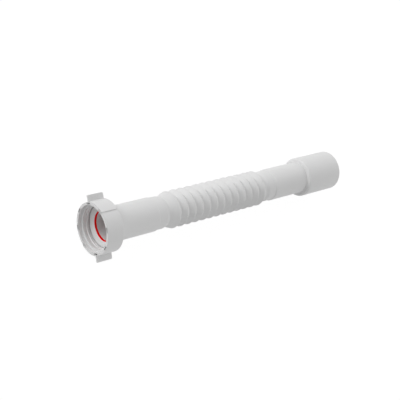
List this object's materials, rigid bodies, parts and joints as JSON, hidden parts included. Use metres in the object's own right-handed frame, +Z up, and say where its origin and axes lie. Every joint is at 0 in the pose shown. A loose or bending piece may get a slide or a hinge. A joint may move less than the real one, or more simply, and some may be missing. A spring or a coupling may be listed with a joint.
{
  "type": "flexible waste connector",
  "caption": "Flexible waste connector: a corrugated plastic hose with a winged union nut and a red sealing ring at one end and a plain stepped spigot at the other.",
  "frame": {"origin": "on the pipe's axis, where the nut's thread begins, behind its plain mouth", "axes": "+X along the pipe from the nut to the plain end, +Z up, the nut lying on its bare side just past the end of a pad"},
  "size_m": [0.3786, 0.0706, 0.059],
  "materials": {
    "hose": "white polypropylene, satin",
    "nut": "white polypropylene, satin",
    "seal": "red rubber"
  },
  "bodies": {
    "hose": {"corrugated_hose": "hose", "sealing_ring": "seal"},
    "nut": {"union_nut": "nut"}
  },
  "joints": [
    {"name": "nut_spin", "type": "hinge", "parent": "hose", "child": "nut", "pos_m": [0, 0, 0], "axis": [1, 0, 0], "continuous": true}
  ]
}
